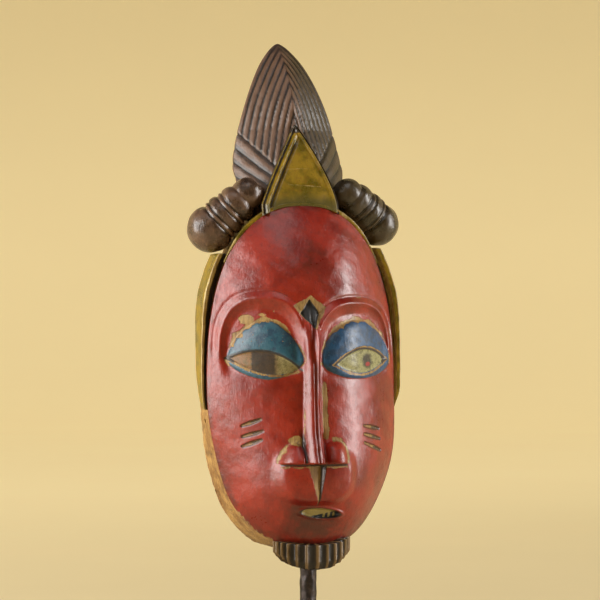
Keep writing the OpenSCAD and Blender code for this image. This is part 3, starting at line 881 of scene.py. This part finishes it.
def beard():
    """A half-round comb of hollow flutes under the chin, with sharp pale edges between them."""
    flutes = 12
    centre_y, half, forward = beard_high.y - 2, beard_high.x - 0.4, beard_high.y - 2 - beard_low.y
    store = {}

    def place(turn, share):
        c, s = np.cos(turn), np.sin(turn)
        front = s < 0.02
        f = (unit(-turn / math.pi) * flutes + 0.12 * np.sin(3 * turn)) % 1
        scoop = np.where(front, 1 - (2 * f - 1) ** 2, 0) ** 0.7
        x = half * np.sign(c) * abs(c) ** 0.9
        y = np.where(s < 0, forward * s, 3.0 * s)
        foot = beard_low.z + 0.3 + 9.5 * abs(x / half) ** 3.2 + 0.5 * (1 - scoop) + 0.5 * uneven(x, y, 9)
        top = CHIN_Z + 2.5 + 2.4 * (x / half) ** 2 + 1.5 * soft((x - 18) / 8)
        body = unit(np.minimum(share * 0.7, 1 - share) / 0.05) ** 0.5
        wall = 1 - 0.13 * scoop
        taper = 1 - 0.16 * soft((0.35 - share) / 0.35)
        pale_edge = (0.13 - np.minimum(f, 1 - f)) * 9 + 0.25 * uneven(f * 9, share * 12, 7)
        store["rubbed"] = np.where(front, pale_edge, -9)
        store["line"] = np.where(front, (scoop - 0.72) * 1.5 + 0.2 * (0.5 - f), -9)
        z = mix(foot, top, unit((share - 0.03) / 0.93))
        return 0.6 + x * body * wall * mix(1, taper, 0.5), centre_y + y * body * wall * taper, z

    make_piece("fluted_beard", pole_skin(288, 52, place), BEARD, "mask", ("beard",), store)


# ---- Yellow trim ----


def sweep(name, stations, place, nodes, fields_of, around=64):
    """A strip with flat ends: place takes the share of its length and the turn round its section."""
    store = {}

    def pole_place(turn, share):
        t = unit((share - 1.5 / stations) / (1 - 3 / stations))
        cap = unit(np.minimum(share, 1 - share) * stations / 1.5)
        store.update(fields_of(t, turn))
        return place(t, turn, cap)

    make_piece(name, pole_skin(around, stations, pole_place), YELLOW, "mask", nodes, store)


SLOT = 0.30


def lappet(side):
    """A thin curved plate standing off the rim, with a deep slot between it and the face."""
    name = "left_lappet" if side < 0 else "right_lappet"
    low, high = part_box(name)
    tip, top = low.z / MM, high.z / MM
    front = PARTING_Y + 1.6
    # The section's corners, going round: out from the rim as a share of the reach, and back of the depth
    loop = np.array([
        (0, SLOT), (0.52, SLOT), (0.60, 0), (0.94, -0.02), (1, 0.12), (1, 0.90), (0.86, 1), (0, 1), (0, SLOT),
    ])
    lengths = np.concatenate([[0], np.cumsum(np.hypot(*np.diff(loop, axis=0).T))])

    def section(turn):
        at = (turn / (2 * math.pi) % 1) * lengths[-1]
        return np.interp(at, lengths, loop[:, 0]), np.interp(at, lengths, loop[:, 1])

    def shape(t):
        z = mix(tip, top + 1.5, t)
        full = np.sqrt(1 - (1 - unit(t * 0.95 + 0.004)) ** 2)
        spread = 2.6 * soft((z - 235) / 45) + (2.6 * soft((z - tip) / 14) if side > 0 else 0)
        reach = np.maximum(0.9, 4.3 * np.sqrt(full)) + spread
        depth = np.maximum(2.0, 21.5 * full)
        return z, reach, depth

    def place(t, turn, cap):
        z, reach, depth = shape(t)
        out, back = section(turn)
        out, back = mix(0.5, out, cap), mix(0.5, back, cap)
        x = width_at(z) - 1.4 + (reach + 1.4) * out
        slot = np.minimum(6.0, SLOT * depth)
        y = front + np.where(back < SLOT, back / SLOT * slot, mix(slot, depth, (back - SLOT) / (1 - SLOT)))
        return side * (x + 0.15 * uneven(z, y, 17)), y, z

    def fields_of(t, turn):
        out, back = section(turn)
        # Dark paint in the slot: a dark stain, and painted shade down in it as well
        slot = np.where((out < 0.58) & (back < 0.34), 0.9, -9)
        slot = np.where(side > 0, np.where(out < 0.5, slot, -9), slot)
        inner_wall = (out > 0.5) & (out < 0.62) & (back < SLOT)
        edge = np.where((out > 0.56) & (back < 0.08), 0.8, -9)
        worn = np.where(inner_wall, 0.9 if side > 0 else -9, edge if side < 0 else -9)
        worn = np.maximum(worn, np.where((back > 0.9) & (out > 0.5), 0.1, -9))
        grime_and_shade = np.where(back < 0.2, -0.6, -9)
        return {"line": slot, "worn": worn, "grime_and_shade": grime_and_shade}

    sweep(name + "_plate", 120, place, (name,), fields_of)


def hair_band():
    """A thin painted band along the hair line."""
    def place(t, turn, cap):
        around = math.radians(90) + math.radians(50) * (1 - 2 * t)
        p, q = squared(turn, 4)
        thin = soft(np.minimum(t, 1 - t) / 0.16)
        out = 0.9 + mix(0.4, 1.5, thin) * p * cap + 0.15 * uneven(t * 150, t * 40, 13)
        x, z = on_oval(around, 1.0, tuple(size + 0.6 for size in FACE_OVAL))
        y = PARTING_Y - edge_forward(rise_of(around)) + 1.0 + mix(1.0, 1.9, thin) * q * cap
        return x + (out - 1) * np.cos(around), y, z + (out - 1) * np.sin(around)

    def fields_of(t, turn):
        p, q = squared(turn, 4)
        over_panel = hump(t - 0.5, 0.17)
        worn = 0.8 * uneven(t * 170, q, 30) - 2.5 * over_panel - 0.4
        return {"line": -9.0, "worn": worn, "grime_and_shade": over_panel * 1.8 - 0.8 + 0.9 * (p > 0.7)}

    sweep("hair_line_band", 160, place, ("hair_band",), fields_of, 24)


def forehead_panel():
    """A leaning painted triangle: a sunk field between raised strips and dark grooves."""
    bm = bmesh.new()
    bmesh.ops.create_grid(bm, x_segments=110, y_segments=110, size=0.5)
    p = coords(bm)
    u, up = p[:, 0] + 0.5, p[:, 1] + 0.5
    top = PANEL_TOP + 3 - HAIR_Z
    across = abs(mix(-29, 26, u)) / HALF_W
    sag = UPPER * ((1 - across ** FULLNESS) ** (1 / FULLNESS) - 1)
    h = mix(sag - 0.6, top, up)
    t = np.clip(h / top, -0.2, 1)
    left = -28.6 * (1 - unit(t) ** 1.08)
    right = 25.0 * (1 - unit(t) ** 1.45)
    x = mix(left - 0.4, right + 0.4, u)
    h_over = h - sag * (1 - up)
    from_left = (x - left) * 0.88
    from_right = (right - x) * 0.88
    lean = mix(-7.6, 10.5, np.clip(h / top, -0.2, 1))
    relief = 1.2 * hump(from_left - 2.9, 1.0) * soft((top - 4 - h) / 8) - 1.2 * hump(from_left - 0.9, 0.8)
    relief -= 1.7 * hump(from_left - 5.2, 1.1) * soft((top - 8 - h) / 10)
    relief += 1.2 * hump(from_right - 1.9, 1.1) - 1.4 * hump(from_right - 0.2, 0.7)
    relief += 1.0 * (1 - (np.clip(x / 24, -1, 1)) ** 2) * (1 - 0.6 * t)
    # Two scratches: how far each point is above them, and where they reach
    low_scratch, on_low = h - 13.5 + 0.06 * x, abs(x - 2) < 12
    high_scratch, on_high = h - 25 - 0.04 * x, abs(x + 2) < 8
    relief -= 0.35 * hump(low_scratch, 0.4) * on_low + 0.25 * hump(high_scratch, 0.35) * on_high
    put(bm, x, lean - relief, HAIR_Z + h)
    inner_groove = 0.6 - abs(from_left - 5.2) - 3 * (1 - soft((top - 7 - h) / 8))
    line = np.maximum(0.7 - abs(from_left - 0.8), inner_groove)
    line = np.maximum(line, 0.8 - abs(from_right + 0.1))
    line = np.maximum(line, 1.8 - (top - 3 - h) * 0.6)
    scratches = np.maximum(0.12 - abs(low_scratch) - 5 * ~on_low, 0.08 - abs(high_scratch) - 5 * ~on_high)
    worn = np.maximum(-0.1 - abs(from_left - 2.7) + 0.6 * uneven(h, x, 14), scratches)
    worn = np.maximum(worn, -0.2 - abs(from_right - 1.4) + 0.5 * uneven(h, x, 12))
    grime_and_shade = (6.5 - h_over) * 0.16
    count = len(bm.verts)
    made = bmesh.ops.extrude_edge_only(bm, edges=[e for e in bm.edges if e.is_boundary])["geom"]
    back = [g for g in made if isinstance(g, bmesh.types.BMVert)]
    bmesh.ops.translate(bm, verts=back, vec=(0, 5, 0))
    bmesh.ops.holes_fill(bm, edges=[e for e in bm.edges if e.is_boundary])
    bmesh.ops.triangulate(bm, faces=[f for f in bm.faces if len(f.verts) > 4])
    rest = len(bm.verts) - count
    each = (("line", line, 0.8), ("worn", worn, -9.0), ("grime_and_shade", grime_and_shade, -9.0))
    fields = {name: np.concatenate([front, np.full(rest, behind)]) for name, front, behind in each}
    return make_piece("leaning_panel", bm, YELLOW, "mask", ("forehead_panel",), fields)


# ---- Stand ----


def forged_rod():
    """A hand-forged rod: round where it turns in its holes, faintly hammered between."""
    half = (rod_high.x - rod_low.x) / 2
    foot, top = rod_low.z, rod_high.z
    free_low, free_high = flange_high.z + 3, beard_low.z + 8

    def place(turn, share):
        z = mix(foot, top, unit((share - 0.02) / 0.96))
        free = soft((z - free_low) / 6) * soft((free_high - z) / 6)
        dents = 0.35 + 0.35 * uneven(turn * 6, z, 11)
        flats = 0.25 * abs(np.sin(2 * turn))
        r = (half - free * (dents * 0.8 + flats)) * unit(np.minimum(share, 1 - share) / 0.02)
        r = np.minimum(r, half - unit(z - top + 1))
        return ROD_X + r * np.cos(turn), ROD_Y + r * np.sin(turn), z

    make_piece("forged_rod", pole_skin(64, 150, place), IRON, "rod", ("rod",))


def rounded_block(low, high, corner, edge):
    bm = bmesh.new()
    bmesh.ops.create_cube(bm, size=1)
    bmesh.ops.scale(bm, vec=high - low, verts=bm.verts)
    bmesh.ops.translate(bm, vec=(low + high) / 2, verts=bm.verts)
    upright = [e for e in bm.edges if abs(e.verts[0].co.z - e.verts[1].co.z) > 0.5 * (high.z - low.z)]
    bmesh.ops.bevel(bm, geom=upright, offset=corner, segments=8, profile=0.5, affect="EDGES", material=-1)
    level = [e for e in bm.edges if abs(e.verts[0].co.z - e.verts[1].co.z) < 0.01 and len(e.link_faces) == 2
             and abs(e.link_faces[0].normal.z - e.link_faces[1].normal.z) > 0.5]
    bmesh.ops.bevel(bm, geom=level, offset=edge, segments=4, profile=0.5, affect="EDGES", material=-1)
    return bm


def screws_at():
    """The four screws' places: 21 mm from the rod, on the diagonals."""
    turns = [math.radians(45 + 90 * k) for k in range(4)]
    return [(ROD_X + 21 * math.cos(a), ROD_Y + 21 * math.sin(a)) for a in turns]


def base():
    bm = rounded_block(base_low, base_high, 5.0, 1.6)
    block = make_piece("stained_base", bm, BASE, "stand", ("base_block",))
    holes = [((ROD_X, ROD_Y, rod_low.z - 0.1), (ROD_X, ROD_Y, base_high.z + 3), ROD_HOLE_R, ROD_HOLE_R)]
    holes += [((x, y, base_high.z - 16), (x, y, base_high.z + 3), 2.1, 2.1) for x, y in screws_at()]
    drill(block, holes)
    bm = rounded_block(felt_low, felt_high, 5.0, 0.6)
    make_piece("base_felt_pad", bm, FELT, "stand", ("base_felt",))


def flange():
    """A turned floor flange: a dished plate and a boss, with countersunk holes."""
    r, boss, low, high = (flange_high.x - flange_low.x) / 2, 13.0, flange_low.z, flange_high.z
    plate = low + 4.0
    bore = ROD_HOLE_R - 0.05
    profile = [
        (bore, low), (r - 0.6, low), (r, low + 0.6), (r, plate - 1), (r - 0.9, plate), (boss + 3.0, plate),
        (boss + 1.0, plate + 0.6), (boss + 0.1, plate + 2.2), (boss, high - 1.6), (boss - 0.5, high - 0.5),
        (boss - 1.6, high), (bore, high),
    ]
    bm = turned(profile, (ROD_X, ROD_Y), 96, True)
    piece = make_piece("turned_flange", bm, IRON, "stand", ("rod_flange",))
    holes = []
    for x, y in screws_at():
        holes.append(((x, y, low - 1), (x, y, plate + 1), 2.2, 2.2))
        holes.append(((x, y, plate - 2.1), (x, y, plate + 0.1), 2.2, 4.3))
    grub_low, grub_high = box_mm("grub_screw")
    grub_z = (grub_low.z + grub_high.z) / 2
    holes.append(((ROD_X, ROD_Y + 4, grub_z), (ROD_X, ROD_Y + 20, grub_z), 2.55, 2.55))
    drill(piece, holes)


def dress_node(name, material):
    slots = frame["nodes"][name].material_slots
    if not len(slots):
        frame["nodes"][name].data.materials.append(material)
    for slot in slots:
        slot.material = material


painted_face()
bare_rim()
crest()
forehead_panel()
hair_band()
beard()
for which in (-1, 1):
    bun(which)
    lappet(which)
forged_rod()
base()
flange()
dress_node("flange_screws", STEEL)
dress_node("grub_screw", STEEL)

# ---- Studio ----


def aim(thing, spot):
    thing.rotation_euler = (Vector(spot) - thing.location).to_track_quat("-Z", "Y").to_euler()


def studio_paper():
    """Pale paper whose walls glow softly, brightest behind the mask and dim in front of it."""
    f = Finish("cream_paper")
    f.relief((f.noise(3, 3.0), 0.02))
    behind = f.step(f.axis("Y"), -0.5, 2.0, 0.04, 1.0)
    up = f.step(f.axis("Z"), 0.3, 1.3, 1.0, 0.7)
    f.feed(f.shader.inputs["Emission Color"], f.layer((0, 0, 0), (232, 212, 160), f.times(up, behind)))
    f.shader.inputs["Emission Strength"].default_value = 0.66
    f.colour = f.layer((206, 190, 150), (214, 198, 158), f.noise(300, 3.0))
    return f.done(0.9, specular=0.1)


def studio():
    """A round floor that sweeps up into a wall on every side."""
    flat, bend, top = 3.4, 1.5, 5.0
    arc = [(flat + bend * math.sin(a), bend * (1 - math.cos(a))) for a in np.linspace(0, math.pi / 2, 16)]
    bm = turned([(0, 0)] + arc + [(flat + bend, top)], (0, 0), 72, False)
    bmesh.ops.recalc_face_normals(bm, faces=bm.faces)
    floor = from_bmesh("studio_floor", bm)
    floor.data.shade_smooth()
    floor.data.materials.append(studio_paper())


def soft_box(name, turn, up, distance, size, power, colour=(1, 0.98, 0.96)):
    """A soft light at that many degrees round from the mask's front, positive to the viewer's right."""
    light = bpy.data.lights.new(name, "AREA")
    light.shape = "RECTANGLE"
    light.size, light.size_y = size
    light.energy = power
    light.color = colour
    lamp = placed(name, light)
    a = math.radians(turn)
    lamp.location = (distance * math.sin(a), -distance * math.cos(a), 0.27 + up)
    aim(lamp, (0, 0, 0.27))


def lights():
    soft_box("left_soft_box", -88, 0.22, 1.5, (0.9, 1.4), 37)
    soft_box("right_soft_box", 68, 0.20, 1.5, (0.30, 1.3), 25)
    soft_box("top_fill", -20, 2.2, 1.2, (1.5, 1.5), 11)
    world = bpy.data.worlds.new("room")
    world.use_nodes = True
    world.node_tree.nodes["Background"].inputs["Color"].default_value = (1.0, 0.95, 0.88, 1)
    world.node_tree.nodes["Background"].inputs["Strength"].default_value = 0.04
    scene.world = world


def camera():
    """Level with the mask, and a little to its right."""
    turn = math.radians(CAMERA_TURN)
    look = Vector((-math.sin(turn), math.cos(turn), 0))
    target = Vector((-0.94, PARTING_Y, 271.4)) * MM
    data = bpy.data.cameras.new("camera")
    data.sensor_width = 36
    data.lens = 36 * 1.468 * CAMERA_DISTANCE / MM / 600
    data.dof.use_dof = False
    cam = placed("camera", data)
    cam.location = target - look * CAMERA_DISTANCE
    cam.rotation_euler = look.to_track_quat("-Z", "Y").to_euler()
    scene.camera = cam


studio()
lights()
camera()
scene.view_settings.view_transform = "Standard"
